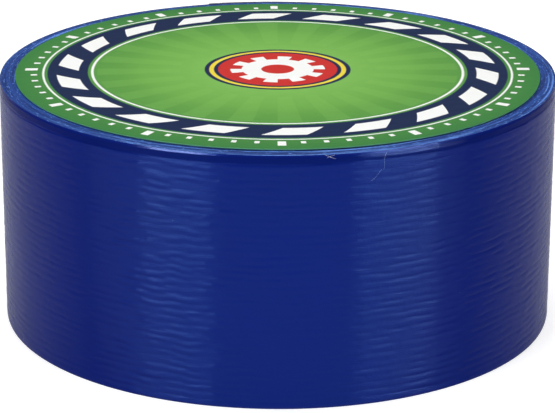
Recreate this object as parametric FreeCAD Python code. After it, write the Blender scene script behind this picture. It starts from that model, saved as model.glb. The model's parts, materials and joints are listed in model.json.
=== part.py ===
"""A roll of cloth-backed duct tape, lying on its side with its round card label up.

The part's frame has +Z up, along the roll's axis, and its origin at the centre of the face it lies on.
All sizes are in millimetres.

How the real roll is made, and how it is modelled here:
  - The core is a paper tube of four plies. Each ply is a ribbon wound on a helix, so it is a thin tube
    with one slanting butt seam, and the seams are staggered from ply to ply.
  - The tape is one strip of backing film, warp yarns, weft yarns and adhesive, wound on the core. Its
    lower turns are stuck into one solid pack. Its last turns are true coiled layers, and its free end
    is a tail that peels away from the roll about a line up the roll's side.
  - The label is a printed sheet on a card disc. It covers the end of the core and is held by spots of
    glue, and it comes off upwards.

The coil is drawn with half circles about two centres on the X axis, one for each half turn, so that the
radius grows by one tape thickness a turn and every layer lies on its neighbour, face to face.
"""

import math
import os

import FreeCAD
import Part

Vector = FreeCAD.Vector

# --- Tape ---------------------------------------------------------------------------------------
tape_width = 48.0
tape_length = 18200.0
adhesive_thickness = 0.080
weft_thickness = 0.030
warp_thickness = 0.030
film_thickness = 0.070

# --- Core ---------------------------------------------------------------------------------------
core_bore_diameter = 76.2
core_liner_thickness = 0.40
core_body_ply_thickness = 1.20
core_body_plies = 2
core_end_recess = 0.25
ply_seam_pitch = 137.0
ply_seam_width = 0.35
ply_seam_stagger = 67.0

# --- Last turns and tail --------------------------------------------------------------------------
layered_turns = 1.25
tail_length = 30.0
tail_middle_angle = 90.0
tail_root_lift = 0.12
tail_tip_lift = 0.55
tail_root_gap = 0.05

# --- Scrim yarns in the tail ------------------------------------------------------------------------
warp_pitch = 3.00
warp_yarn_share = 0.20
weft_pitch = 3.60
weft_yarn_share = 0.16

# --- Label ----------------------------------------------------------------------------------------
label_margin = 3.25
label_card_thickness = 0.25
label_print_thickness = 0.05
glue_spots = 4
glue_spot_share = 0.6
glue_thickness = 0.05

# --- Sizes that follow ------------------------------------------------------------------------------
tape_thickness = adhesive_thickness + weft_thickness + warp_thickness + film_thickness
core_wall = 2 * core_liner_thickness + core_body_plies * core_body_ply_thickness
core_inner_radius = core_bore_diameter / 2
core_outer_radius = core_inner_radius + core_wall
roll_radius = math.sqrt(core_outer_radius**2 + tape_length * tape_thickness / math.pi)
last_turn_inner_radius = roll_radius - tape_thickness
label_radius = roll_radius - label_margin

# The layers of the strip, as distances from its inner, sticky face.
weft_face = adhesive_thickness
warp_face = weft_face + weft_thickness
film_face = warp_face + warp_thickness
outer_face = tape_thickness

# Angles along the coil, in degrees. They count turns, so the start of the layered turns is negative.
angle_decimals = 6
tail_angle = math.degrees(tail_length / roll_radius)
tail_end_angle = tail_middle_angle + tail_angle / 2
hinge_angle = round(tail_end_angle - tail_angle, angle_decimals)
layers_start_angle = round(hinge_angle - 360.0 * layered_turns, angle_decimals)


# --- The coil ---------------------------------------------------------------------------------------
def half_turn(index, offset):
    """Centre and radius of half turn number index of the coil, at a distance from the strip's inner face.
    Half turn 0 runs from 0 to 180 degrees and is the last one."""
    side = -1 if index % 2 == 0 else 1
    centre = Vector(side * tape_thickness / 4, 0, 0)
    return centre, last_turn_inner_radius + index * tape_thickness / 2 + offset


def coil_point(angle, offset):
    """The point at an angle along the coil, at a distance from the strip's inner face."""
    centre, radius = half_turn(math.floor(angle / 180.0), offset)
    return polar(centre, radius, angle)


def polar(centre, radius, angle):
    """The point at an angle in degrees on a circle about a centre."""
    turn = math.radians(angle)
    return centre + Vector(radius * math.cos(turn), radius * math.sin(turn), 0)


def arc(centre, radius, start, end):
    """An edge round a centre between two angles in degrees."""
    middle = (start + end) / 2
    points = [polar(centre, radius, angle) for angle in (start, middle, end)]
    return Part.Arc(*points).toShape()


def coil_stops(start, end):
    """The angles at which the coil's arcs meet: at each half turn, and in line with both ends of the layers,
    so that faces that lie on each other are divided alike."""
    stops = {start, end}
    for first, step in ((0.0, 180.0), (layers_start_angle, 360.0), (hinge_angle, 360.0)):
        number = math.ceil((start - first) / step)
        while first + number * step < end:
            stops.add(round(first + number * step, angle_decimals))
            number += 1
    return sorted(stops)


def coil_edges(start, end, offset):
    """The coil between two angles as arcs."""
    edges = []
    stops = coil_stops(start, end)
    for first, last in zip(stops, stops[1:]):
        index = math.floor((first + last) / 2 / 180.0)
        edges.append(arc(*half_turn(index, offset), first, last))
    return edges


def upright(edges, height):
    """The solid that stands on a closed outline of edges."""
    outline = Part.Wire(Part.__sortEdges__(edges))
    return Part.Face(outline).extrude(Vector(0, 0, height))


def coiled_layer(inner, outer):
    """One layer of the strip in the last turns, between two distances from the strip's inner face."""
    edges = coil_edges(layers_start_angle, hinge_angle, inner)
    edges += coil_edges(layers_start_angle, hinge_angle, outer)
    for angle in (layers_start_angle, hinge_angle):
        edges.append(Part.makeLine(coil_point(angle, inner), coil_point(angle, outer)))
    return upright(edges, tape_width)


# --- Core -------------------------------------------------------------------------------------------
def core_ply(inner_radius, thickness, seam_angle):
    """One ply of the core: a tube with a slanting butt seam through it from end to end."""
    outer_radius = inner_radius + thickness
    length = tape_width - 2 * core_end_recess
    foot = Vector(0, 0, core_end_recess)
    tube = Part.makeCylinder(outer_radius, length, foot)
    tube = tube.cut(Part.makeCylinder(inner_radius, length, foot))
    return tube.cut(seam_cutter(inner_radius, outer_radius, length, seam_angle))


def seam_cutter(inner_radius, outer_radius, length, seam_angle):
    """A helical blade that reaches past both faces and both ends of a ply."""
    reach = inner_radius * 0.02
    inner, outer = inner_radius - reach, outer_radius + reach
    rise = length + 2 * reach
    spine = Part.makeHelix(ply_seam_pitch, rise, outer_radius)
    half = ply_seam_width / 2
    corners = [(inner, -half), (outer, -half), (outer, half), (inner, half), (inner, -half)]
    blade = Part.makePolygon([Vector(x, y, 0) for x, y in corners])
    shell = Part.BRepOffsetAPI.MakePipeShell(Part.Wire(spine.Edges))
    shell.setBiNormalMode(Vector(0, 0, 1))
    shell.add(blade)
    shell.build()
    shell.makeSolid()
    cutter = shell.shape()
    cutter.rotate(Vector(0, 0, 0), Vector(0, 0, 1), seam_angle)
    cutter.translate(Vector(0, 0, core_end_recess - reach))
    return cutter


def make_core():
    """The plies of the core, from the bore outwards."""
    names = ["core_inner_liner"]
    names += [f"core_body_ply_{number + 1}" for number in range(core_body_plies)]
    names += ["core_outer_liner"]
    radius = core_inner_radius
    plies = {}
    for number, name in enumerate(names):
        thickness = core_liner_thickness if "liner" in name else core_body_ply_thickness
        plies[name] = core_ply(radius, thickness, number * ply_seam_stagger)
        radius += thickness
    return plies


# --- Wound tape -------------------------------------------------------------------------------------
def make_wound_pack():
    """The turns that lie under the layered ones. Its outside climbs by one tape thickness in a turn and ends
    in the step against which the layered turns start."""
    start = layers_start_angle
    end = start + 360.0
    edges = coil_edges(start, end, 0.0)
    edges.append(Part.makeLine(coil_point(start, 0.0), coil_point(end, 0.0)))
    pack = upright(edges, tape_width)
    return pack.cut(Part.makeCylinder(core_outer_radius, tape_width))


def make_last_turns():
    """The film, the scrim cloth and the adhesive of the last turns, coiled in each other."""
    return {
        "last_turns_film": coiled_layer(film_face, outer_face),
        "last_turns_scrim": coiled_layer(weft_face, film_face),
        "last_turns_adhesive": coiled_layer(0.0, weft_face),
    }


# --- Tail -------------------------------------------------------------------------------------------
class TailCurve:
    """The tail's own arc. It leaves the roll in line with its side, a little above the turn below, and
    rises to a slightly larger gap at its tip."""

    def __init__(self):
        centre, radius = half_turn(0, 0.0)
        root_angle = hinge_angle + math.degrees(tail_root_gap / roll_radius)
        root = polar(centre, radius + tail_root_lift, root_angle)
        tip = polar(centre, radius + tail_tip_lift, tail_end_angle)
        inward = (centre - root).normalize()
        chord = tip - root
        self.radius = chord.Length**2 / (2 * chord.dot(inward))
        self.centre = root + inward * self.radius
        self.start = root_angle
        self.end = root_angle + 2 * math.degrees(math.asin(chord.Length / (2 * self.radius)))

        self.weft_turn = math.degrees(weft_pitch / self.radius)
        self.weft_count = int((self.end - self.start) / self.weft_turn)
        self.weft_start = (self.start + self.end - (self.weft_count - 1) * self.weft_turn) / 2

    def whole(self):
        """The angles at which the arcs of a sheet over the whole tail meet: its ends, and midway between the
        weft yarns."""
        between = [self.weft_start + (number + 0.5) * self.weft_turn for number in range(self.weft_count - 1)]
        return [self.start, *between, self.end]

    def sheet(self, inner, outer, stops, height):
        """A curved sheet between two faces of the strip, in arcs that meet at the given angles."""
        faces = [self.radius + inner, self.radius + outer]
        edges = [arc(self.centre, radius, *ends) for radius in faces for ends in zip(stops, stops[1:])]
        for angle in (stops[0], stops[-1]):
            edges.append(Part.makeLine(*[polar(self.centre, radius, angle) for radius in faces]))
        return upright(edges, height)

    def warp_yarns(self):
        """The yarns that run along the tape, side by side across its width."""
        width = warp_pitch * warp_yarn_share
        count = int(tape_width / warp_pitch)
        margin = (tape_width - (count - 1) * warp_pitch - width) / 2
        yarn = self.sheet(warp_face, film_face, self.whole(), width)
        yarns = []
        for number in range(count):
            yarns.append(yarn.translated(Vector(0, 0, margin + number * warp_pitch)))
        return Part.makeCompound(yarns)

    def weft_yarns(self):
        """The yarns that run across the tape, laid on the warp and stuck in the adhesive."""
        half = self.weft_turn * weft_yarn_share / 2
        yarns = []
        for number in range(self.weft_count):
            middle = self.weft_start + number * self.weft_turn
            yarns.append(self.sheet(weft_face, warp_face, [middle - half, middle + half], tape_width))
        return Part.makeCompound(yarns)


def make_tail():
    """The free end of the tape, layer by layer."""
    curve = TailCurve()
    whole = (curve.whole(), tape_width)
    return {
        "tail_film": curve.sheet(film_face, outer_face, *whole),
        "tail_warp_yarns": curve.warp_yarns(),
        "tail_weft_yarns": curve.weft_yarns(),
        "tail_adhesive": curve.sheet(0.0, weft_face, *whole),
    }


def tail_hinge():
    """The line about which the tail peels: the outer corner of its root."""
    curve = TailCurve()
    return polar(curve.centre, curve.radius + outer_face, curve.start)


# --- Label ------------------------------------------------------------------------------------------
def make_label():
    """The card disc, its printed sheet and the spots of glue under it."""
    card_foot = tape_width + glue_thickness
    print_foot = card_foot + label_card_thickness
    glue_circle = (core_outer_radius + label_radius) / 2
    spot_radius = (label_radius - core_outer_radius) * glue_spot_share / 2
    spots = []
    for number in range(glue_spots):
        centre = polar(Vector(0, 0, tape_width), glue_circle, 360.0 * number / glue_spots)
        spots.append(Part.makeCylinder(spot_radius, glue_thickness, centre))
    return {
        "label_card": Part.makeCylinder(label_radius, label_card_thickness, Vector(0, 0, card_foot)),
        "label_print": Part.makeCylinder(label_radius, label_print_thickness, Vector(0, 0, print_foot)),
        "label_glue_spots": Part.makeCompound(spots),
    }


def main():
    nodes = {}
    nodes.update(make_core())
    nodes["tape_wound_pack"] = make_wound_pack()
    nodes.update(make_last_turns())
    nodes.update(make_tail())
    nodes.update(make_label())
    os.makedirs("parts", exist_ok=True)
    for name, shape in nodes.items():
        shape.exportStep(f"parts/{name}.step")
        solids = len(shape.Solids)
        print(f"{name}: {solids} solids, {shape.Volume:.1f} mm3, valid {shape.isValid()}")
    hinge = tail_hinge()
    print(f"roll radius {roll_radius:.3f}, tail hinge at {hinge.x:.4f}, {hinge.y:.4f}")
    turns = (roll_radius - core_outer_radius) / tape_thickness
    print(f"turns of tape {turns:.1f}, core outer radius {core_outer_radius:.2f}")


main()
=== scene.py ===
"""Dresses the packed CAD model of a duct tape roll: film, wound edges, core, free end, label and studio."""

import json
import math
from typing import NamedTuple

import bmesh
import bpy
import numpy as np
from bpy.props import FloatProperty, FloatVectorProperty, IntProperty, PointerProperty
from mathutils import Matrix, Vector


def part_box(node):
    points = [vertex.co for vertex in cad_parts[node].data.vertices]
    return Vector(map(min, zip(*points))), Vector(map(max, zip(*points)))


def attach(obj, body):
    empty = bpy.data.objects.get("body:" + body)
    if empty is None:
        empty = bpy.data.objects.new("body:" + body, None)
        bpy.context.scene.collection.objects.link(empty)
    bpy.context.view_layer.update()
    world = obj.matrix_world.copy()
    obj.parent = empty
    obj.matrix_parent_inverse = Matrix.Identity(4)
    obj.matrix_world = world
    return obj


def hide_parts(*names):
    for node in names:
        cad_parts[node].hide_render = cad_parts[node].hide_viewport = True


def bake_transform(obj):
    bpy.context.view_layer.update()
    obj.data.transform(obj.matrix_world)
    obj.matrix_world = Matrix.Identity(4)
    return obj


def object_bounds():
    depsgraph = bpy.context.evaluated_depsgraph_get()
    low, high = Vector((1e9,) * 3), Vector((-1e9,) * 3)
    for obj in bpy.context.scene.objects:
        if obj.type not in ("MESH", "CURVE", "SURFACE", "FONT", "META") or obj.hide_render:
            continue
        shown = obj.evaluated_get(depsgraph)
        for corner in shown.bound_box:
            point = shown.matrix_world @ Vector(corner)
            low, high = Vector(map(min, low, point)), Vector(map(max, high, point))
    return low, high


bl_info = {
    "name": "Duct tape roll",
    "version": (1, 0, 0),
    "blender": (4, 5, 0),
    "location": "View3D > Sidebar > Tape Roll",
    "description": "Builds the film, wound edges, core, free end, label and studio of a duct tape roll",
    "category": "Object",
}

MM = 0.001

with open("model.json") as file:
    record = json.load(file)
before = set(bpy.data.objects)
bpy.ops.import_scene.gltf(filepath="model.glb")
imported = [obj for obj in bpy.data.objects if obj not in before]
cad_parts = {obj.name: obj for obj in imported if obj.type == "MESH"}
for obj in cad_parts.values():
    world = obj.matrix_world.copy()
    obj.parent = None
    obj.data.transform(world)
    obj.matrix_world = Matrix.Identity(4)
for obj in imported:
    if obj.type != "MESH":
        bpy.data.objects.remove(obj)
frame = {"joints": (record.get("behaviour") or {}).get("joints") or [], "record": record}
CAD_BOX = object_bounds()
TAPE_FOOT, TAPE_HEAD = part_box("last_turns_film")
CORE_LOW, CORE_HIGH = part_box("core_inner_liner")
CORE_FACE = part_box("core_outer_liner")[1].x
CARD_LOW, CARD_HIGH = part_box("label_card")
PRINT_LOW, PRINT_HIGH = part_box("label_print")
GLUE_LOW, GLUE_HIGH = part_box("label_glue_spots")
HINGE = next(joint for joint in frame["joints"] if joint["name"] == "tail_peel")["pos_m"]


# --- Sizes and colours ---
def length(name, description, default):
    """A length property in metres."""
    return FloatProperty(name=name, description=description, default=default, unit="LENGTH", precision=5)


def colour(name, description, default):
    """A colour property, as scene linear red, green and blue."""
    return FloatVectorProperty(
        name=name, description=description, default=default, size=3, min=0, max=1, subtype="COLOR"
    )


def plain(name, description, default):
    """A plain number property."""
    return FloatProperty(name=name, description=description, default=default, precision=4)


class TapeSizes(bpy.types.PropertyGroup):
    """Sizes of the tape, its relief and the core."""

    thickness: length("Tape thickness", "Film, cloth and adhesive together", 0.21 * MM)
    relief: length("Relief depth", "How deep the film dips between yarns and at dents", 0.19 * MM)
    rib_pitch: length("Rib pitch", "Distance between the yarns that run along the tape", 1.40 * MM)
    rib_height: length("Rib height", "Height of the ribs where the film lies rough", 0.075 * MM)
    crease: length("Crease depth", "Depth of the creases between ribs", 0.088 * MM)
    rough_angle: plain("Rough patch", "Degrees round the roll of the roughest patch of film", -112.0)
    tight_angle: plain("Tight side", "Degrees round the roll where the creases are deepest", -40.0)
    wide_lip_angle: plain("Wide lip", "Degrees round the roll where the lip is widest", -63.0)
    thin_lip_angle: plain("Thin lip", "Degrees round the roll where the lip is thin and shiny", -111.0)
    tight_spread: plain("Tight side spread", "Degrees over which the deep creases fade", 24.0)
    wide_lip_spread: plain("Wide lip spread", "Degrees over which the lip narrows", 14.0)
    rough_spread: plain("Rough patch spread", "Degrees over which the rough patch fades", 11.0)
    weft_pitch: length("Weft pitch", "Distance between the yarns that run across the tape", 2.8 * MM)
    lip: length("Lip height", "Height of the lip at the top of the film", 1.65 * MM)
    tuck: length("Lip tuck", "How far the film is tucked in under the lip", 0.12 * MM)
    tail: length("Tail length", "Free end of the tape", 30.0 * MM)
    tail_lift: length("Tail lift", "Gap under the tip of the free end", 0.55 * MM)
    root_lift: length("Root lift", "Gap under the free end near its root", 0.12 * MM)
    tip_margin: length("Tip margin", "How far the dressed tip stays under the lift", 0.04 * MM)
    peel: length("Peel bend", "Length over which the peeled tape bends", 3.0 * MM)
    seam: length("Core seam", "Width of the slanting seam in each core ply", 0.35 * MM)
    seam_pitch: length("Core seam pitch", "Rise of a core seam in one turn", 137.0 * MM)
    seam_stagger: plain("Core seam stagger", "Degrees from one ply's seam to the next", 67.0)


class TapeColours(bpy.types.PropertyGroup):
    """Colours of the tape, the core and the free end."""

    film: colour("Film", "Blue backing film", (0.0024, 0.0088, 0.118))
    film_deep: colour("Deep film", "Film in its slightly deeper clouds", (0.0029, 0.0102, 0.106))
    film_shade: colour("Film under the lip", "Shaded film under its lip", (0.001, 0.004, 0.060))
    lip_gloss: colour("Lip gloss", "Tint of highlights on the film's upper edge", (0.34, 0.47, 1.0))
    gloss: colour("Gloss", "Tint of the film's highlights", (0.17, 0.36, 1.0))
    edge: colour("Wound edge", "Edge of the wound turns", (0.0120, 0.0585, 0.290))
    # Painted highlight and painted shade on the wound edge: a pale blue for proud turns catching the light, a
    # dark blue for the gaps between turns.
    edge_painted_highlight: colour("Edge streak", "Turns that stand proud and catch the light", (0.150, 0.345, 0.90))
    edge_gap_painted_shade: colour("Edge gap", "Dark gap between turns", (0.005, 0.026, 0.155))
    adhesive: colour("Adhesive", "Sticky side", (0.52, 0.51, 0.48))
    adhesive_deep: colour("Deep adhesive", "Sticky side in its darker clouds", (0.40, 0.40, 0.39))
    yarn_shade: colour("Yarn shade", "Scrim yarns between their strands", (0.48, 0.54, 0.62))
    yarn: colour("Yarn", "Scrim yarns", (0.72, 0.79, 0.88))
    liner: colour("Core liner", "Thin paper plies of the core", (0.40, 0.27, 0.155))
    board: colour("Core board", "Thick board plies of the core", (0.30, 0.20, 0.115))
    dust: colour("Dust", "Specks of dust and lint", (0.45, 0.50, 0.62))


class LabelColours(bpy.types.PropertyGroup):
    """Colours of the label's card, glue and generic print."""

    middle: colour("Middle green", "Pale green at the middle", (0.235, 0.545, 0.105))
    half: colour("Half-way green", "Green half way out", (0.135, 0.375, 0.060))
    rim: colour("Rim green", "Dark green at the rim", (0.045, 0.215, 0.050))
    band: colour("Band", "Dark blue band", (0.0085, 0.0205, 0.0740))
    ink: colour("White ink", "Lines, blocks and ticks", (0.93, 0.94, 0.92))
    roundel: colour("Roundel", "Red middle of the roundel", (0.60, 0.025, 0.020))
    accent: colour("Accent", "Yellow ring of the roundel", (0.85, 0.68, 0.05))
    card: colour("Card", "Bare card under the print", (0.60, 0.585, 0.54))
    cut: colour("Cut edge", "Inked cut edge of the card", (0.068, 0.245, 0.150))
    glue: colour("Glue", "Dried glue", (0.66, 0.60, 0.42))
    glue_pale: colour("Pale glue", "Dried glue where it lies thick", (0.75, 0.72, 0.60))
    dust: colour("Dust", "Specks of dust on the print", (0.70, 0.72, 0.70))


class StudioSettings(bpy.types.PropertyGroup):
    """Camera, lamps and floor."""

    distance: length("Camera distance", "From the roll's middle", 0.491224)
    elevation: plain("Camera elevation", "Degrees above the roll's middle", 18.6340)
    tilt: plain("Camera tilt", "Degrees below the horizon that the camera aims", 19.0673)
    roll: plain("Camera roll", "Degrees that the camera leans", -0.2045)
    lens: plain("Lens", "Focal length in millimetres", 161.20)
    shift: plain("Lens shift", "Sideways shift of the view, as a share of its width", 0.0006)
    left_power: plain("Left lamp power", "Watts of the low lamp at the front left", 1.8)
    right_power: plain("Right lamp power", "Watts of the low lamp at the front right", 2.4)
    left_high_power: plain("High left lamp power", "Watts of the high lamp at the front left", 2.9)
    right_high_power: plain("High right lamp power", "Watts of the high lamp at the front right", 0.8)
    back_power: plain("Back lamp power", "Watts of the high lamp at the back", 2.6)
    under_power: plain("Under lamp power", "Watts of the lamp under the floor, for views from below", 3.0)
    top_power: plain("Top lamp power", "Watts of the lamp above", 6.6)
    fill: plain("Fill light", "Brightness of the surroundings", 0.12)
    floor: colour("Floor", "Pale floor", (0.62, 0.62, 0.62))
    floor_glow: plain("Floor glow", "What the floor adds to the camera and to reflections", 0.62)


# --- Coil ---
def sizes():
    """The tape's sizes."""
    return bpy.context.scene.tape_sizes


def tape_width():
    """The tape's width, which is the roll's height without the label."""
    return TAPE_HEAD.z - TAPE_FOOT.z


def roll_radius():
    """The radius at which the coil's last half turn ends."""
    return TAPE_HEAD.x + sizes().thickness / 4


def hinge_angle():
    """The angle in degrees at which the free end leaves the roll."""
    return math.degrees(math.atan2(HINGE[1], HINGE[0]))


def coil(angles, offset):
    """Points in plan on the coil, at angles in degrees and offsets out from the strip's face."""
    angles = np.asarray(angles, float)
    thickness = sizes().thickness
    index = np.floor(angles / 180.0)
    centre = np.where(index % 2 == 0, -thickness / 4, thickness / 4)
    radius = roll_radius() + index * thickness / 2 + offset
    turn = np.radians(angles)
    return np.stack([centre + radius * np.cos(turn), radius * np.sin(turn)], -1)


# --- Relief ---
def noise(seed, x, y=0.0):
    """Smooth noise from -1 to 1 whose features are about one unit across."""
    table = np.random.default_rng(seed).uniform(-1, 1, (64, 64))
    x, y = np.broadcast_arrays(np.asarray(x, float), np.asarray(y, float))
    cell_x, cell_y = np.floor(x).astype(int), np.floor(y).astype(int)
    step_x, step_y = x - cell_x, y - cell_y
    step_x = step_x * step_x * (3 - 2 * step_x)
    step_y = step_y * step_y * (3 - 2 * step_y)

    def corner(right, up):
        return table[(cell_x + right) % 64, (cell_y + up) % 64]

    low = corner(0, 0) * (1 - step_x) + corner(1, 0) * step_x
    high = corner(0, 1) * (1 - step_x) + corner(1, 1) * step_x
    return low * (1 - step_y) + high * step_y


def bump_at(x, centre, width):
    """A rounded hump of height 1 at centre."""
    return np.exp(-(((x - centre) / width) ** 2))


def round_roll(along, angle, spread):
    """A hump round the roll at an angle, for distances along the tape. Both angles are in degrees."""
    return bump_at(along / roll_radius(), math.radians(angle), math.radians(spread))


def roughness(along, a, z):
    """How rough the film lies: most at one patch, and a little more in broad clouds."""
    size = sizes()
    everywhere, clouds = 0.22, 0.3 * np.clip(noise(12, a / 31.0, z / 60.0), 0, 1)
    return everywhere + round_roll(along, size.rough_angle, size.rough_spread) + clouds


def creases(along, a, z, phase):
    """Depth of the sharp creases, one in each row of ribs, steep above and drawn out below."""
    size = sizes()
    row = np.floor(phase + 0.5)
    steep, gentle = 0.08, 0.26
    strength = np.clip(0.42 + 1.2 * noise(3, a / 1.9 + row * 0.43, row), 0.05, 1)
    tight = 0.55 + 0.8 * round_roll(along, size.tight_angle, size.tight_spread)
    strength = strength * tight * (0.78 + 0.28 * noise(13, a / 13.0, z / 9.0))
    away = phase - row
    fold = np.where(away > 0, bump_at(away, 0, steep), bump_at(away, 0, gentle))
    return size.crease / MM * strength * fold


def ribs(a, phase, rough):
    """Height of the swollen ribs between the creases, where the film lies rough."""
    cell = np.floor(phase)
    swell = np.clip(0.45 + 1.4 * noise(4, a / 1.6 + cell * 0.37, cell), 0, 2)
    pillow = np.sin(math.pi * (phase - cell)) ** 2 * swell
    return sizes().rib_height / MM * rough * (pillow - 0.5)


def lip_tuck(under_top, ledge_at, wide):
    """How far the film is tucked in under its lip, which ends at ledge_at below the top."""
    lip_starts, fade = 0.35, 0.3
    tuck = (1 - 0.7 * wide) * sizes().tuck / MM
    tuck = tuck * np.clip((under_top - lip_starts) / (ledge_at - lip_starts), 0, 1)
    return tuck * np.clip((ledge_at + fade - under_top) / fade, 0, 1)


def film_relief(along, height):
    """How far the film's face lies below the coil, for distances along the tape and heights, in metres."""
    size = sizes()
    a, z = along / MM, height / MM
    under_top = tape_width() / MM - z
    rough = roughness(along, a, z)
    wander = 0.22 * noise(1, a / 9.0, z / 4.0) + (0.10 + 0.24 * rough) * noise(2, a / 1.5, z / 2.8)
    phase = z / (size.rib_pitch / MM) + wander
    dimple = (0.007 + 0.014 * rough) * noise(14, a / 2.3, z / 1.5)
    broad = 0.020 * noise(5, a / 24.0, z / 15.0) + 0.006 * noise(6, a / 9.0, z / 30.0)
    ledge_at = size.lip / MM * (1 + 0.14 * noise(7, a / 17.0) + 0.05 * noise(8, a / 4.5))
    wide = round_roll(along, size.wide_lip_angle, size.wide_lip_spread)
    nicks = 0.05 * np.clip(noise(10, a / 2.2, z / 1.4) - 0.45, 0, 1) * bump_at(under_top, ledge_at * 1.4, 1.0)
    bevel, foot_bevel = 0.42 + 0.62 * wide + 0.06 * noise(15, a / 3.1), 0.4
    rounding = 0.16 * np.clip(1 - under_top / bevel, 0, 1) + 0.10 * np.clip(1 - z / foot_bevel, 0, 1) ** 2
    quiet = np.clip((under_top - ledge_at) / 0.6, 0.12, 1) * np.clip(z / 0.3, 0, 1)
    detail = ribs(a, phase, rough) + broad + dimple - creases(along, a, z, phase) - nicks
    rest_level, ridge = -0.045, 0.03 * bump_at(under_top, 0.45, 0.25)
    level = rest_level + detail * quiet - lip_tuck(under_top, ledge_at, wide) - rounding + ridge
    return np.clip(level, -size.relief / MM, 0) * MM


# --- Meshes ---
def mesh_object(name, points, faces, smooth=True):
    """A mesh object with outward faces."""
    mesh = bpy.data.meshes.new(name)
    mesh.from_pydata([tuple(point) for point in points], [], faces)
    work = bmesh.new()
    work.from_mesh(mesh)
    bmesh.ops.remove_doubles(work, verts=work.verts, dist=1e-8)
    bmesh.ops.recalc_face_normals(work, faces=work.faces)
    work.to_mesh(mesh)
    work.free()
    mesh.validate()
    mesh.polygons.foreach_set("use_smooth", [smooth] * len(mesh.polygons))
    made = bpy.data.objects.new(name, mesh)
    bpy.context.scene.collection.objects.link(made)
    return made


def swept(name, loops, closed=False):
    """A solid through closed loops of points, capped at both ends or joined end to end."""
    count, size = loops.shape[:2]
    faces = []
    for row in range(count if closed else count - 1):
        first, second = row * size, (row + 1) % count * size
        for point in range(size):
            after = (point + 1) % size
            faces.append((first + point, first + after, second + after, second + point))
    if not closed:
        faces.append(tuple(range(size)))
        faces.append(tuple((count - 1) * size + point for point in reversed(range(size))))
    return mesh_object(name, loops.reshape(-1, 3), faces)


def mark_tape(made, along, height):
    """Stores each point's distance along the tape and its height, in mm, so that lines follow the tape."""
    marks = np.zeros((len(along), len(height), 3))
    marks[..., 0] = along[:, None] / MM
    marks[..., 1] = height[None, :] / MM
    layer = made.data.attributes.new("tape", "FLOAT_VECTOR", "POINT")
    layer.data.foreach_set("vector", marks.ravel())


def finish_piece(made, material, slot, nodes=(), smooth_angle=40):
    """Gives a piece its material, lets it stand for CAD nodes and keeps its sharp edges. The slot is not
    used.
    """
    made.data.materials.append(material)
    made.data.set_sharp_from_angle(angle=math.radians(smooth_angle))
    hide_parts(*nodes)
    return made


def joined(name, parts):
    """One object made of several."""
    first = parts[0]
    with bpy.context.temp_override(active_object=first, selected_editable_objects=parts):
        bpy.ops.object.join()
    first.name = name
    return first


# --- Shader nodes ---
class Graph:
    """Adds nodes to a shader tree and links them."""

    def __init__(self, tree):
        self.tree = tree

    def add(self, kind, inputs=None, **settings):
        node = self.tree.nodes.new(kind)
        for name, value in settings.items():
            setattr(node, name, value)
        for socket, value in (inputs or {}).items():
            self.feed(node.inputs[socket], value)
        return node

    def feed(self, socket, value):
        if isinstance(value, bpy.types.NodeSocket):
            self.tree.links.new(value, socket)
        elif socket.type == "RGBA" and len(value) == 3:
            socket.default_value = (*value, 1)
        else:
            socket.default_value = value

    def math(self, operation, *values):
        node = self.add("ShaderNodeMath", operation=operation)
        for socket, value in zip(node.inputs, values):
            self.feed(socket, value)
        return node.outputs[0]

    def times(self, first, second):
        return self.math("MULTIPLY", first, second)

    def split(self, vector):
        """A vector's three parts."""
        return self.add("ShaderNodeSeparateXYZ", {0: vector}).outputs

    def join(self, *parts):
        """A vector of three parts."""
        return self.add("ShaderNodeCombineXYZ", dict(enumerate(parts))).outputs[0]

    def mix(self, factor, first, second, blend="MIX"):
        node = self.add("ShaderNodeMix", data_type="RGBA", blend_type=blend)
        for socket, value in zip((node.inputs[0], node.inputs[6], node.inputs[7]), (factor, first, second)):
            self.feed(socket, value)
        return node.outputs[2]

    def ramp(self, value, low, high, start=0.0, end=1.0):
        """value from low to high becomes start to end, and stays there outside."""
        inputs = {"Value": value, "From Min": low, "From Max": high, "To Min": start, "To Max": end}
        return self.add("ShaderNodeMapRange", inputs).outputs[0]

    def place(self, scale=(1, 1, 1)):
        """Object coordinates in millimetres, stretched."""
        source = self.add("ShaderNodeTexCoord").outputs["Object"]
        stretch = [part / MM for part in scale]
        return self.add("ShaderNodeVectorMath", {0: source, 1: stretch}, operation="MULTIPLY").outputs[0]

    def strip(self, scale=(1, 1, 1)):
        """Distance along the tape and height in millimetres, stretched."""
        source = self.add("ShaderNodeAttribute", attribute_name="tape").outputs["Vector"]
        return self.add("ShaderNodeVectorMath", {0: source, 1: scale}, operation="MULTIPLY").outputs[0]

    def noise(self, vector, scale, detail=3.0, roughness=0.5):
        inputs = {"Vector": vector, "Scale": scale, "Detail": detail, "Roughness": roughness}
        return self.add("ShaderNodeTexNoise", inputs).outputs["Fac"]

    def group(self, tree, inputs=None):
        node = self.add("ShaderNodeGroup", node_tree=tree)
        for socket, value in (inputs or {}).items():
            self.feed(node.inputs[socket], value)
        return node.outputs

    def relief(self, height, distance, strength=1.0):
        """A normal from a height in millimetres."""
        inputs = {"Height": height, "Distance": distance * MM, "Strength": strength}
        return self.add("ShaderNodeBump", inputs).outputs[0]


def group_tree(name, inputs, outputs):
    """An empty node group, its graph, its inputs and its output node. Sockets are (name, kind) pairs."""
    tree = bpy.data.node_groups.new(name, "ShaderNodeTree")
    for direction, sockets in (("INPUT", inputs), ("OUTPUT", outputs)):
        for socket, kind in sockets:
            tree.interface.new_socket(socket, in_out=direction, socket_type=f"NodeSocket{kind}")
    graph = Graph(tree)
    return tree, graph, graph.add("NodeGroupInput").outputs, graph.add("NodeGroupOutput").inputs


def shared(name, make):
    """A node group that is made once."""
    return bpy.data.node_groups.get(name) or make(name)


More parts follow.
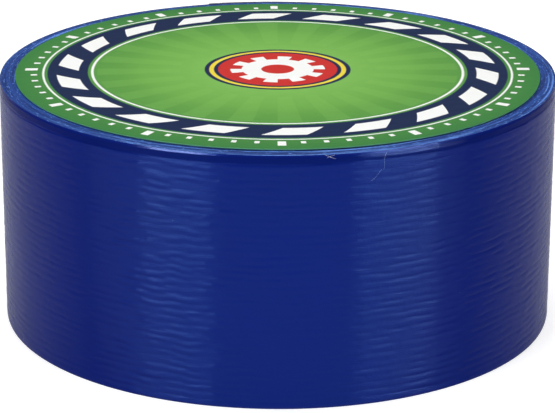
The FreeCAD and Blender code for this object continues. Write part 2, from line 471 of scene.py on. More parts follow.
def polar_group(name):
    """Distance from the roll's axis in millimetres, and share of a turn about it."""
    tree, graph, _, out = group_tree(name, [], [("Radius", "Float"), ("Turn", "Float")])
    parts = graph.split(graph.place())
    square = graph.math("MULTIPLY_ADD", parts[1], parts[1], graph.times(parts[0], parts[0]))
    graph.feed(out["Radius"], graph.math("SQRT", square))
    angle = graph.math("ARCTAN2", parts[1], parts[0])
    graph.feed(out["Turn"], graph.math("DIVIDE", angle, 2 * math.pi))
    return tree


def fibre_group(name):
    """Paper: a mottled colour with darker and paler fibres, and a fine height."""
    inputs = [("Colour", "Color"), ("Mottle", "Float"), ("Scale", "Float")]
    tree, graph, given, out = group_tree(name, inputs, [("Colour", "Color"), ("Height", "Float")])
    place = graph.place()
    scale = given["Scale"]
    cloud = graph.noise(place, graph.times(scale, 0.22), 4)
    fibres = graph.noise(graph.place((1, 0.35, 1)), graph.times(scale, 2.2), 5, 0.65)
    cross = graph.noise(graph.place((0.3, 1, 1)), graph.times(scale, 2.6), 5, 0.65)
    fine = graph.math("MAXIMUM", fibres, cross)
    dark = graph.mix(1.0, given["Colour"], (0.66, 0.62, 0.58), "MULTIPLY")
    pale = graph.mix(0.22, given["Colour"], (1, 0.97, 0.90))
    tint = graph.mix(graph.ramp(cloud, 0.35, 0.68), dark, given["Colour"])
    tint = graph.mix(graph.times(graph.ramp(fine, 0.55, 0.75), 0.8), tint, pale)
    graph.feed(out["Colour"], graph.mix(given["Mottle"], given["Colour"], tint))
    graph.feed(out["Height"], fine)
    return tree


def dust_group(name):
    """Scattered specks of dust over a colour."""
    inputs = [("Colour", "Color"), ("Dust", "Color"), ("Amount", "Float")]
    tree, graph, given, out = group_tree(name, inputs, [("Colour", "Color"), ("Mask", "Float")])
    cells = graph.add("ShaderNodeTexVoronoi", {"Vector": graph.place(), "Scale": 0.28, "Randomness": 1.0})
    size = graph.ramp(graph.noise(graph.place(), 0.4, 2), 0.55, 0.75, 0.0, 0.07)
    speck = graph.math("LESS_THAN", cells.outputs["Distance"], size)
    mask = graph.times(speck, given["Amount"])
    graph.feed(out["Colour"], graph.mix(mask, given["Colour"], given["Dust"]))
    graph.feed(out["Mask"], mask)
    return tree


def film_group(name):
    """Fine relief of the backing film, in millimetres: thin lines along the tape, faint weft and stipple."""
    inputs = [("Line Pitch", "Float"), ("Line Height", "Float"), ("Weft Pitch", "Float")]
    tree, graph, given, out = group_tree(name, inputs, [("Height", "Float")])
    place = graph.split(graph.strip())
    spread = graph.strip((0.16, 1, 1))
    wander = graph.noise(spread, 0.9, 3)
    phase = graph.math("DIVIDE", place[1], given["Line Pitch"])
    phase = graph.math("MULTIPLY_ADD", wander, 3.0, phase)
    lines = graph.math("SINE", graph.times(phase, 2 * math.pi))
    swell = graph.ramp(graph.noise(spread, 0.5, 2), 0.3, 0.7, 0.25, 1.0)
    lines = graph.times(lines, swell)
    across = graph.math("DIVIDE", place[0], given["Weft Pitch"])
    weft = graph.math("SINE", graph.times(across, 2 * math.pi))
    stipple = graph.noise(graph.strip(), 3.2, 4, 0.6)
    height = graph.times(lines, given["Line Height"])
    height = graph.math("MULTIPLY_ADD", weft, 0.0015, height)
    height = graph.math("MULTIPLY_ADD", stipple, 0.006, height)
    height = graph.math("MULTIPLY_ADD", graph.noise(graph.strip(), 0.8, 2), 0.030, height)
    graph.feed(out["Height"], height)
    return tree


def material(name, surface, **settings):
    """A Principled material. surface gets the graph and returns its linked inputs."""
    made = bpy.data.materials.new(name)
    made.use_nodes = True
    tree = made.node_tree
    tree.nodes.clear()
    graph = Graph(tree)
    shader = graph.add("ShaderNodeBsdfPrincipled")
    end = graph.add("ShaderNodeOutputMaterial")
    tree.links.new(shader.outputs[0], end.inputs[0])
    for socket, value in {**settings, **surface(graph)}.items():
        graph.feed(shader.inputs[socket.replace("_", " ")], value)
    return made


def shiny_lip(graph, angle, spread, depth):
    """A mask of the top of the lip where it's pressed flat and shiny, within spread degrees of an angle."""
    place = graph.split(graph.strip())
    top, degree = tape_width() / MM, math.radians(1) * roll_radius() / MM
    away = graph.math("ABSOLUTE", graph.math("SUBTRACT", place[0], angle * degree))
    along = graph.ramp(away, (spread - 3) * degree, (spread + 2) * degree, 1.0, 0.0)
    return graph.times(along, graph.ramp(place[1], top - depth, top - 0.75 * depth))


def film_material():
    """Glossy blue backing film, with thin lines along the tape, a little dust and painted shade under its
    lip.
    """
    tint = bpy.context.scene.tape_colours

    def surface(graph):
        lines = {"Line Pitch": 0.42, "Line Height": 0.004, "Weft Pitch": sizes().weft_pitch / MM}
        film = graph.group(shared("Film lines", film_group), lines)
        cloud = graph.noise(graph.strip(), 0.05, 3)
        shade = graph.mix(graph.ramp(cloud, 0.35, 0.65, 0.0, 0.35), tint.film, tint.film_deep)
        # Painted shade: a band under the lip, where the film is also tucked in, is mixed toward the darker
        # film_shade blue and given less specular.
        up = graph.split(graph.strip())[1]
        waver = graph.times(graph.noise(graph.strip(), 0.12, 3), 0.8)
        lip_foot = (tape_width() - sizes().lip) / MM - 0.4
        below = graph.ramp(graph.math("SUBTRACT", up, waver), lip_foot - 0.15, lip_foot + 0.15)
        above = graph.ramp(up, tape_width() / MM - 0.45, tape_width() / MM - 0.2, 1.0, 0.0)
        tuck_painted_shade = graph.times(below, above)
        shade = graph.mix(graph.times(tuck_painted_shade, 0.45), shade, tint.film_shade)
        dust = graph.group(shared("Dust", dust_group), {"Colour": shade, "Dust": tint.dust, "Amount": 0.1})
        rough = graph.ramp(graph.noise(graph.strip(), 0.35, 4), 0.3, 0.7, 0.20, 0.23)
        tangent = graph.add("ShaderNodeTangent", direction_type="RADIAL", axis="Z").outputs[0]
        facing = graph.add("ShaderNodeLayerWeight", {"Blend": 0.5}).outputs["Facing"]
        level = graph.ramp(facing, 0.21, 0.32, 0.27, 0.045)
        level = graph.times(level, graph.ramp(facing, 0.50, 0.88, 1.0, 0.10))
        level = graph.times(level, graph.ramp(tuck_painted_shade, 0.0, 1.0, 1.0, 0.25))
        edge = graph.math(
            "MAXIMUM",
            shiny_lip(graph, sizes().thin_lip_angle, spread=8.0, depth=0.42),
            graph.times(shiny_lip(graph, sizes().wide_lip_angle, spread=10.0, depth=1.2), 0.45),
        )
        return {
            "Base Color": dust["Colour"],
            "Roughness": graph.math("MULTIPLY_ADD", dust["Mask"], 0.5, rough),
            "Normal": graph.relief(film["Height"], 1.0),
            "Tangent": tangent,
            "Specular IOR Level": graph.math("MULTIPLY_ADD", edge, 1.0, level),
            "Specular Tint": graph.mix(edge, tint.gloss, tint.lip_gloss),
        }

    settings = {"Anisotropic": 1.0, "Anisotropic Rotation": 0.25}
    return material("Blue film", surface, **settings)


def edge_material():
    """The wound edge: turns of slightly different blue, with painted highlights of proud turns as pale
    streaks and dashes, and painted shade of the gaps between turns.
    """
    tint = bpy.context.scene.tape_colours

    def surface(graph):
        polar = graph.group(shared("Polar", polar_group))
        turns = graph.math("DIVIDE", polar["Radius"], sizes().thickness / MM)
        parts = graph.split(graph.place((0.045, 0.045, 1)))
        drift = graph.join(parts[0], parts[1], turns)
        each = graph.noise(drift, 0.75, 3, 0.6)
        bundle = graph.noise(drift, 0.62, 3, 0.6)
        # Painted shade: turns are mixed at random toward a dark blue that stands for the shade of the gaps
        # between them.
        base = graph.mix(graph.ramp(each, 0.44, 0.53), tint.edge_gap_painted_shade, tint.edge)
        scuff = graph.noise(graph.place(), 1.4, 5, 0.65)
        # Painted highlights: pale streaks and dashes on some turns stand for proud turns catching the light.
        painted_highlight = graph.times(graph.ramp(bundle, 0.56, 0.61), graph.ramp(scuff, 0.30, 0.55, 0.35, 1.0))
        near = graph.split(graph.place((0.8, 0.8, 1)))
        short = graph.join(near[0], near[1], turns)
        dashes = graph.ramp(graph.noise(short, 0.8, 2, 0.6), 0.61, 0.66)
        painted_highlight = graph.math("MAXIMUM", painted_highlight, graph.times(dashes, 0.8))
        base = graph.mix(graph.times(painted_highlight, 0.9), base, tint.edge_painted_highlight)
        dust = graph.group(shared("Dust", dust_group), {"Colour": base, "Dust": tint.dust, "Amount": 0.7})
        height = graph.math("MULTIPLY_ADD", scuff, 0.03, graph.times(each, 0.05))
        return {
            "Base Color": dust["Colour"],
            "Roughness": graph.ramp(scuff, 0.3, 0.7, 0.32, 0.55),
            "Normal": graph.relief(height, 1.0),
        }

    return material("Wound edge", surface, Specular_IOR_Level=0.3)


def paper_material(name, tint, scale, mottle, roughness, relief, cut=None):
    """Paper or board with fibres. cut is the radius in millimetres and the colour of an inked cut edge."""

    def surface(graph):
        shade = tint
        if cut:
            radius, ink = cut
            polar = graph.group(shared("Polar", polar_group))
            shade = graph.mix(graph.ramp(polar["Radius"], radius - 0.1, radius), shade, ink)
        given = {"Colour": shade, "Mottle": mottle, "Scale": scale}
        fibre = graph.group(shared("Paper fibre", fibre_group), given)
        return {
            "Base Color": fibre["Colour"],
            "Roughness": graph.ramp(fibre["Height"], 0.3, 0.8, roughness, roughness + 0.1),
            "Normal": graph.relief(fibre["Height"], relief),
        }

    return material(name, surface, Specular_IOR_Level=0.3)


def adhesive_material():
    """Grey-white adhesive, with the scrim's yarns showing through it."""
    tint = bpy.context.scene.tape_colours

    def surface(graph):
        place = graph.split(graph.strip())
        blur = graph.times(graph.noise(graph.strip((0.5, 1, 1)), 0.3, 2), 1.6)
        warp = graph.math("MULTIPLY_ADD", place[1], 2 * math.pi / (sizes().rib_pitch / MM), blur)
        weft = graph.math("MULTIPLY_ADD", place[0], 2 * math.pi / (sizes().weft_pitch / MM), blur)
        yarns = graph.math(
            "MAXIMUM",
            graph.ramp(graph.math("COSINE", warp), 0.45, 0.85),
            graph.ramp(graph.math("COSINE", weft), 0.80, 0.97, 0.0, 0.8),
        )
        cloud = graph.noise(graph.strip(), 0.5, 4)
        base = graph.mix(graph.ramp(cloud, 0.35, 0.7, 0.0, 0.5), tint.adhesive, tint.adhesive_deep)
        base = graph.mix(graph.times(yarns, 0.6), base, tint.yarn)
        dust = graph.group(shared("Dust", dust_group), {"Colour": base, "Dust": tint.dust, "Amount": 0.6})
        lumps = graph.noise(graph.strip(), 1.8, 4)
        return {
            "Base Color": dust["Colour"],
            "Roughness": graph.ramp(lumps, 0.3, 0.7, 0.28, 0.42),
            "Normal": graph.relief(lumps, 0.04),
        }

    return material("Adhesive", surface)


def yarn_material():
    """Twisted white yarn."""
    tint = bpy.context.scene.tape_colours

    def surface(graph):
        twist = graph.noise(graph.place((1, 1, 3)), 3.0, 4)
        base = graph.mix(graph.ramp(twist, 0.3, 0.7), tint.yarn_shade, tint.yarn)
        return {"Base Color": base, "Normal": graph.relief(twist, 0.05)}

    return material("Yarn", surface, Roughness=0.8, Specular_IOR_Level=0.3)


class Mark(NamedTuple):
    """A ring on the label, in mm. With a count it's that many spokes, each a share of its pitch wide."""

    colour: str
    inner: float
    outer: float
    count: int = 0
    share: float = 1.0
    slant: float = 0.0
    strength: float = 1.0


# An inner radius below zero leaves no hole.
CENTRE = -1.0
LABEL_MARKS = (
    Mark("middle", 19.0, 35.0, 24, 0.5, strength=0.20),
    Mark("band", 36.8, 44.6),
    Mark("ink", 35.7, 36.2),
    Mark("ink", 45.2, 45.6),
    Mark("ink", 38.6, 42.8, 18, 0.55, slant=0.0035),
    Mark("ink", 46.6, 47.8, 72, 0.22),
    Mark("ink", 46.6, 49.0, 12, 0.06),
    Mark("band", CENTRE, 14.2),
    Mark("accent", 12.4, 13.3),
    Mark("roundel", CENTRE, 11.6),
    Mark("ink", 6.0, 9.2, 10, 0.5),
    Mark("ink", 3.2, 7.0),
)


def print_material():
    """The label's generic print: rays, a blue band with slanted blocks, ticks, and a gear in a roundel."""
    tint = bpy.context.scene.label_colours

    def surface(graph):
        polar = graph.group(shared("Polar", polar_group))
        radius, turn = polar["Radius"], polar["Turn"]
        soft, middle_radius = 0.10, 40

        def over(value, limit):
            return graph.ramp(value, limit - soft, limit + soft)

        def both(first, second):
            return graph.times(first, second)

        def ring(inner, outer):
            return both(over(radius, inner), graph.math("SUBTRACT", 1.0, over(radius, outer)))

        def spokes(count, share, slant):
            """Spokes round the label, each a share of its pitch wide, and slanted in turns a millimetre."""
            bent = graph.math("MULTIPLY_ADD", radius, slant, turn)
            cell = graph.math("FRACT", graph.times(bent, count))
            edge = soft * count / (2 * math.pi * middle_radius)
            start = graph.ramp(cell, 0.0, edge)
            return both(start, graph.ramp(cell, share, share + edge, 1.0, 0.0))

        inner = graph.mix(graph.ramp(radius, 6.0, 30.0), tint.middle, tint.half)
        base = graph.mix(graph.ramp(radius, 26.0, 50.0), inner, tint.rim)
        for mark in LABEL_MARKS:
            mask = ring(mark.inner, mark.outer)
            if mark.count:
                mask = both(spokes(mark.count, mark.share, mark.slant), mask)
            if mark.strength < 1:
                mask = both(mask, mark.strength)
            base = graph.mix(mask, base, getattr(tint, mark.colour))
        given = {"Colour": base, "Mottle": 0.05, "Scale": 2.2}
        fibre = graph.group(shared("Paper fibre", fibre_group), given)
        given = {"Colour": fibre["Colour"], "Dust": tint.dust, "Amount": 0.35}
        dust = graph.group(shared("Dust", dust_group), given)
        press = graph.ramp(graph.noise(graph.place(), 0.12, 2), 0.3, 0.7)
        height = graph.math("MULTIPLY_ADD", press, 0.10, graph.times(fibre["Height"], 0.008))
        return {
            "Base Color": dust["Colour"],
            "Roughness": graph.ramp(fibre["Height"], 0.3, 0.8, 0.40, 0.50),
            "Normal": graph.relief(height, 1.0),
        }

    return material("Label print", surface, Specular_IOR_Level=0.15)


def glue_material():
    """Dried, slightly yellow glue."""
    tint = bpy.context.scene.label_colours

    def surface(graph):
        lumps = graph.noise(graph.place(), 1.2, 4)
        base = graph.mix(graph.ramp(lumps, 0.35, 0.7), tint.glue, tint.glue_pale)
        return {"Base Color": base, "Normal": graph.relief(lumps, 0.03)}

    return material("Dried glue", surface, Roughness=0.35)


# --- Film ---
def film_rows(rows, lip_rows=26):
    """Heights of the film's mesh rows, which are closer together at the lip."""
    lip_foot = tape_width() - 1.25 * sizes().lip
    lower = np.linspace(0, lip_foot, rows - lip_rows, endpoint=False)
    return np.append(lower, np.linspace(lip_foot, tape_width(), lip_rows)) + TAPE_FOOT.z


def film_sheet(name, angles, along, inner, lift=0.0, deepest=1.0, tear=None, rows=296):
    """A sheet of film along the coil. Its face has relief down to deepest, and its back is plain."""
    width = tape_width()
    heights = film_rows(rows)
    relief = film_relief(along[:, None], heights[None, :] - TAPE_FOOT.z)
    relief = np.maximum(relief, -deepest)
    lift = np.broadcast_to(lift, angles.shape)[:, None]
    face = coil(np.repeat(angles[:, None], rows, 1), relief + lift)
    back_heights = np.array([1.0, 0.5, 0.0]) * width + TAPE_FOOT.z
    back = coil(np.repeat(angles[:, None], 3, 1), inner + lift)
    face = np.dstack([face, np.broadcast_to(heights, face.shape[:2])])
    back = np.dstack([back, np.broadcast_to(back_heights, back.shape[:2])])
    loops = np.concatenate([face, back], 1)
    made = swept(name, torn_tip(loops, tear, 61) if tear else loops)
    mark_tape(made, along, np.append(heights, back_heights) - TAPE_FOOT.z)
    return made


class OBJECT_OT_tape_film(bpy.types.Operator):
    """Builds the film round the outside of the roll, with its ribs and turned edge"""

    bl_idname = "object.tape_film"
    bl_label = "Outer Film"

    columns: IntProperty(name="Columns", description="Mesh columns round the roll", default=324)

    def execute(self, context):
        angles = np.linspace(hinge_angle() - 360, hinge_angle(), self.columns + 1)
        along = np.radians(angles) * roll_radius()
        made = film_sheet("outer_film", angles, along, -sizes().thickness)
        nodes = ("last_turns_film", "last_turns_scrim", "last_turns_adhesive")
        finish_piece(made, film_material(), "blue_film", nodes, 60)
        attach(made, "roll")
        return {"FINISHED"}


# --- Wound turns ---
def edge_drop(turn, part, angles, seed):
    """How far the edge of a turn lies below the roll's end, in metres. part counts rows within a turn."""
    turn = turn[:, None] - angles[None, :] / 360.0
    swing = angles[None, :] / 40.0
    each = noise(seed, turn * 1.7, swing)
    bundle = noise(seed + 1, turn * 0.33, swing * 0.4)
    ridge = np.array([0.055, 0.0, 0.03])[part][:, None]
    drop = 0.075 + 0.055 * bundle + 0.022 * each + ridge
    shallowest, deepest = 0.004, 0.24
    return np.clip(drop, shallowest, deepest) * MM


class OBJECT_OT_tape_turns(bpy.types.Operator):
    """Builds the wound turns under the outer film, with the spiral of their edges at both ends"""

    bl_idname = "object.tape_turns"
    bl_label = "Wound Turns"

    rows_per_turn: IntProperty(name="Rows per turn", description="Rows in a turn", default=3, min=3, max=3)
    columns: IntProperty(name="Columns", description="Mesh columns round the roll", default=216)

    def execute(self, context):
        thickness = sizes().thickness
        start = hinge_angle() - 360
        angles = np.linspace(start, start + 360, self.columns + 1)
        step = thickness / self.rows_per_turn
        depth = roll_radius() - 2 * thickness - CORE_FACE
        count = int(depth / thickness) * self.rows_per_turn + 1
        rows = np.arange(count)
        offsets = -thickness - rows * step
        core_turn = np.radians(angles)
        core = CORE_FACE * np.stack([np.cos(core_turn), np.sin(core_turn)], -1)
        plan = coil(np.repeat(angles[None, :], count, 0), offsets[:, None])
        plan = np.concatenate([plan, core[None]], 0)
        turn = np.append(rows, count) / self.rows_per_turn
        part = np.append(rows % self.rows_per_turn, 0)
        top = TAPE_HEAD.z - edge_drop(turn, part, angles, 31)
        bottom = TAPE_FOOT.z + edge_drop(turn, part, angles, 47)
        top[:, -1] = np.append(top[: self.rows_per_turn, -1], top[: -self.rows_per_turn, 0])
        bottom[:, -1] = np.append(bottom[: self.rows_per_turn, -1], bottom[: -self.rows_per_turn, 0])
        points = [np.dstack([plan, heights]).reshape(-1, 3) for heights in (top, bottom)]
        width, height = self.columns + 1, count + 1
        faces = []
        for end in (0, width * height):
            for row in range(height - 1):
                for column in range(self.columns):
                    corner = end + row * width + column
                    faces.append((corner, corner + 1, corner + width + 1, corner + width))
        for row in (0, height - 1):
            for column in range(self.columns):
                corner = row * width + column
                faces.append((corner, corner + 1, corner + 1 + width * height, corner + width * height))
        self.close_seam(faces, width, height)
        made = mesh_object("wound_turns", np.concatenate(points), faces)
        finish_piece(made, edge_material(), "wound_tape", ("tape_wound_pack",), 70)
        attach(made, "roll")
        return {"FINISHED"}

    def close_seam(self, faces, width, height):
        """The upright steps where a turn's start meets the next turn: outside, and at the core."""
        low = width * height
        per = self.rows_per_turn
        last = width - 1
        outside = [row * width + last for row in range(per + 1)]
        faces.append((*outside, *[point + low for point in reversed(outside)]))
        inner_rows = range(height - 1 - per, height)
        inside = [row * width for row in inner_rows]
        faces.append((*inside, *[point + low for point in reversed(inside)]))


# --- Free end ---
def tail_sections(count):
    """Angles, distances along the tape and lifts of the free end's sections, from the hinge to the tip."""
    size = sizes()
    share = np.linspace(0, 1, count)
    reach = math.degrees(size.tail / roll_radius())
    angles = hinge_angle() + share * reach
    along = np.radians(angles) * roll_radius()
    root_share = 0.25
    ramp = np.clip(share / root_share, 0, 1)
    rise = size.tail_lift - size.root_lift - size.tip_margin
    lift = size.root_lift * ramp * ramp * (3 - 2 * ramp) + rise * share * share
    return angles, along, lift


def torn_tip(loops, depth, seed):
    """Moves the last sections back so that the tip ends in a torn, uneven edge."""
    heights = loops[-1, :, 2] / MM
    bite = depth / MM * (0.5 + 0.5 * noise(seed, heights / 1.3) + 0.35 * noise(seed + 1, heights / 0.45))
    bite = np.clip(bite, 0, None) * MM
    span = 12
    reach = np.linalg.norm(loops[-1] - loops[-1 - span], axis=1)
    for step in range(span):
        fade = ((span - step) / span) ** 2
        here = loops[-1 - step]
        way = loops[-1 - span] - here
        way = way / np.maximum(np.linalg.norm(way, axis=1), 1e-9)[:, None]
        loops[-1 - step] = here + way * np.minimum(bite * fade, reach * fade * 0.9)[:, None]
    return loops


def bend_at_hinge(made):
    """Bakes a piece of the free end's placement into its mesh, with no bend."""
    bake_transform(made)


class OBJECT_OT_tape_tail(bpy.types.Operator):
    """Builds the free end of the tape: film, adhesive with its scrim, and the yarn ends at the torn tip"""

    bl_idname = "object.tape_tail"
    bl_label = "Free End"

    columns: IntProperty(name="Columns", description="Mesh columns along the free end", default=96)

    def execute(self, context):
        size = sizes()
        angles, along, lift = tail_sections(self.columns)
        adhesive_depth = 0.11 * MM
        back = -size.thickness + adhesive_depth
        made = film_sheet("tail_film_sheet", angles, along, back, lift, deepest=0.075 * MM, tear=0.5 * MM)
        finish_piece(made, film_material(), "blue_film", ("tail_film",), 60)
        bend_at_hinge(made)
        self.make_adhesive(angles, along, lift)
        self.make_yarns()
        return {"FINISHED"}

    def make_adhesive(self, angles, along, lift):
        """The sticky side, with the yarns' relief, as a thin solid under the film."""
        size = sizes()
        rows, tear = 192, 0.9 * MM
        yarn_height, lump_height = 0.012 * MM, 0.006 * MM
        face_room, depth = 0.022 * MM, 0.10 * MM
        width = tape_width()
        heights = np.linspace(0, 1, rows) * width
        a, z = along[:, None], heights[None, :]
        warp = np.cos(2 * math.pi * z / size.rib_pitch + 0.5 * noise(71, a / (9 * MM), z / (4 * MM)))
        weft = np.cos(2 * math.pi * a / size.weft_pitch + 0.6 * noise(72, a / (6 * MM), z / (7 * MM)))
        lumps = noise(73, a / (1.1 * MM), z / (0.9 * MM))
        sink = yarn_height * np.maximum(warp, weft) + lump_height * lumps
        face_offset = (-size.thickness + face_room) - sink
        back_offset = -size.thickness + depth
        lift = lift[:, None]
        grid = np.repeat(angles[:, None], rows, 1)
        face = coil(grid, face_offset + lift)
        face = np.dstack([face, np.broadcast_to(heights + TAPE_FOOT.z, face.shape[:2])])
        back = coil(np.repeat(angles[:, None], 3, 1), back_offset + lift)
        back_heights = np.array([1.0, 0.5, 0.0]) * width + TAPE_FOOT.z
        back = np.dstack([back, np.broadcast_to(back_heights, back.shape[:2])])
        loops = torn_tip(np.concatenate([face, back], 1), tear, 65)
        made = swept("tail_adhesive_sheet", loops)
        mark_tape(made, along, np.append(heights, back_heights - TAPE_FOOT.z))
        finish_piece(made, adhesive_material(), "adhesive", ("tail_adhesive",), 60)
        bend_at_hinge(made)

    def make_yarns(self):
        """The yarns that stick out of the torn tip."""
        size = sizes()
        random = np.random.default_rng(81)
        inside, radius, edge_room = 1.6 * MM, 0.045 * MM, 0.1 * MM
        depth = 0.70 * size.thickness
        count = int(tape_width() / size.rib_pitch)
        reach = math.degrees(size.tail / roll_radius())
        tubes = []
        for number in range(count):
            foot = (number + 0.5) * size.rib_pitch + TAPE_FOOT.z
            beyond = random.uniform(0.3, 1.9) * MM
            sway, droop = random.uniform(-0.55, 0.55) * MM, random.uniform(-0.10, 0.02) * MM
            share = np.linspace(0, 1, 8)
            start = hinge_angle() + reach - math.degrees(inside / roll_radius())
            angles = start + share * math.degrees((inside + beyond) / roll_radius())
            lift = size.tail_lift - size.tip_margin - depth + droop * share**2
            plan = coil(angles, lift)
            heights = np.clip(foot + sway * share**2, TAPE_FOOT.z + edge_room, TAPE_HEAD.z - edge_room)
            tubes.append(thread("yarn", np.column_stack([plan, heights]), radius))
        made = joined("tail_yarn_ends", tubes)
        finish_piece(made, yarn_material(), "scrim", ("tail_warp_yarns", "tail_weft_yarns"), 60)
        bend_at_hinge(made)


def thread(name, points, radius, sides=6):
    """A thin round thread through points, with tapered ends."""
    points = np.asarray(points, float)
    way = np.gradient(points, axis=0)
    way /= np.linalg.norm(way, axis=1)[:, None]
    side = np.cross(way, (0, 0, 1.0))
    side /= np.maximum(np.linalg.norm(side, axis=1), 1e-9)[:, None]
    up = np.cross(side, way)
    turn = np.linspace(0, 2 * math.pi, sides, endpoint=False)
    size = radius * np.interp(np.linspace(0, 1, len(points)), [0, 0.15, 0.85, 1], [0.5, 1, 0.9, 0.35])
    ring = np.cos(turn)[None, :, None] * side[:, None] + np.sin(turn)[None, :, None] * up[:, None]
    return swept(name, points[:, None] + ring * size[:, None, None])


class OBJECT_OT_tape_fibres(bpy.types.Operator):
    """Builds the few loose fibres that stand out of the roll's upper edge"""

    bl_idname = "object.tape_fibres"
    bl_label = "Loose Fibres"

    # A fibre's root lies at this share of its radius, inside the roll.
    root_inset = 0.992
    # Each fibre's angle round the roll, then its run along the tape, its start below the edge,
    # its drop and its radius, all in millimetres.
    fibres = (
        (-81.2, 1.9, 0.02, 0.75, 0.018),
        (-79.4, -1.5, 0.02, 0.55, 0.016),
        (-69.3, -0.5, 0.10, 3.4, 0.007),
        (-69.8, -2.3, 3.2, 2.2, 0.007),
    )

    def execute(self, context):
        material_used = yarn_material()
        for number, (angle, run, start, drop, radius) in enumerate(self.fibres):
            share = np.linspace(0, 1, 14)
            curl = 0.12 * np.sin(share * 7.0 + number)
            angles = angle + share * math.degrees(run * MM / roll_radius()) + curl
            proud = -0.005 * MM + 0.05 * MM * np.sin(share * math.pi)
            heights = TAPE_HEAD.z - (start + drop * share) * MM
            path = np.column_stack([coil(angles, np.minimum(proud, 0)), heights])
            path[0, :2] *= self.root_inset
            made = thread(f"loose_fibre_{number + 1}", path, radius * MM)
            finish_piece(made, material_used, "scrim")
            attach(made, "roll")
        return {"FINISHED"}


# --- Core ---
class OBJECT_OT_tape_core(bpy.types.Operator):
    """Builds the plies of the paper core, each with its slanting seam and its cut ends"""

    bl_idname = "object.tape_core"
    bl_label = "Core"

    columns: IntProperty(name="Columns", description="Mesh columns round each ply", default=180)
    rows: IntProperty(name="Rows", description="Mesh rows up each ply", default=28)

    def execute(self, context):
        colours = context.scene.tape_colours
        liner = paper_material("Core liner", colours.liner, 1.5, 0.55, 0.62, 0.05)
        board = paper_material("Core board", colours.board, 1.0, 0.8, 0.72, 0.09)
        nodes = ("core_inner_liner", "core_body_ply_1", "core_body_ply_2", "core_outer_liner")
        radii = [self.bore_radius(), *(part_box(node)[1].x for node in nodes)]
        for number, node in enumerate(nodes):
            is_liner = "liner" in node
            made = self.ply(f"{node}_paper", radii[number], radii[number + 1], number)
            look, slot = (liner, "core_paper") if is_liner else (board, "core_board")
            finish_piece(made, look, slot, (node,))
            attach(made, "roll")
        return {"FINISHED"}

    def bore_radius(self):
        """The bore's radius, from its mount."""
        mounts = frame["record"]["mounts"]
        return next(mount for mount in mounts if mount["name"] == "core_bore")["dims"]["r_mm"] * MM

    def ply(self, name, inner, outer, number):
        """One ply: a tube with rough cut ends and a helical seam."""
        size = sizes()
        low, high = CORE_LOW.z, CORE_HIGH.z
        gap = math.degrees(size.seam / inner)
        turns = np.linspace(gap / 2, 360 - gap / 2, self.columns) + number * size.seam_stagger
        share = np.linspace(0, 1, self.rows)
        room, fuzz = 0.006 * MM, 0.05 * MM
        ripple = room * noise(90 + number, turns[:, None] / 9.0, share[None, :] * 14)
        fuzz_top = fuzz * noise(95 + number, turns / 1.5)
        fuzz_low = fuzz * noise(99 + number, turns / 1.5)
        length_here = high - low - 2 * fuzz + (fuzz_top - fuzz_low)[:, None]
        heights = low + fuzz + fuzz_low[:, None] + share[None, :] * length_here
        slant = 360.0 * (heights - low) / size.seam_pitch
        angle = np.radians(turns[:, None] + slant)

        def wall(radius):
            return np.dstack([radius * np.cos(angle), radius * np.sin(angle), heights])

        faces = [wall(outer - room), wall(inner + room + ripple)[:, ::-1]]
        return swept(name, np.concatenate(faces, 1))


# --- Label ---
def disc(name, radius, low, high, edge, sag, columns=240):
    """A disc whose faces both follow sag(radius, angle), with a rounded edge."""
    turn = np.linspace(0, 2 * math.pi, columns, endpoint=False)
    rings = np.concatenate([np.linspace(0, 0.97, 40), [0.985, 0.993]]) * radius
    corner = np.linspace(0, math.pi, 7)
    middle, half = (low + high) / 2, (high - low) / 2
    rim = [(radius - edge + edge * math.sin(step), middle + half * math.cos(step)) for step in corner]
    profile = [(ring, high) for ring in rings] + rim + [(ring, low) for ring in reversed(rings)]
    loops = np.zeros((columns, len(profile), 3))
    for number, (distance, height) in enumerate(profile):
        loops[:, number, 0] = distance * np.cos(turn)
        loops[:, number, 1] = distance * np.sin(turn)
        loops[:, number, 2] = height - sag(distance, turn)
    return swept(name, loops, closed=True)


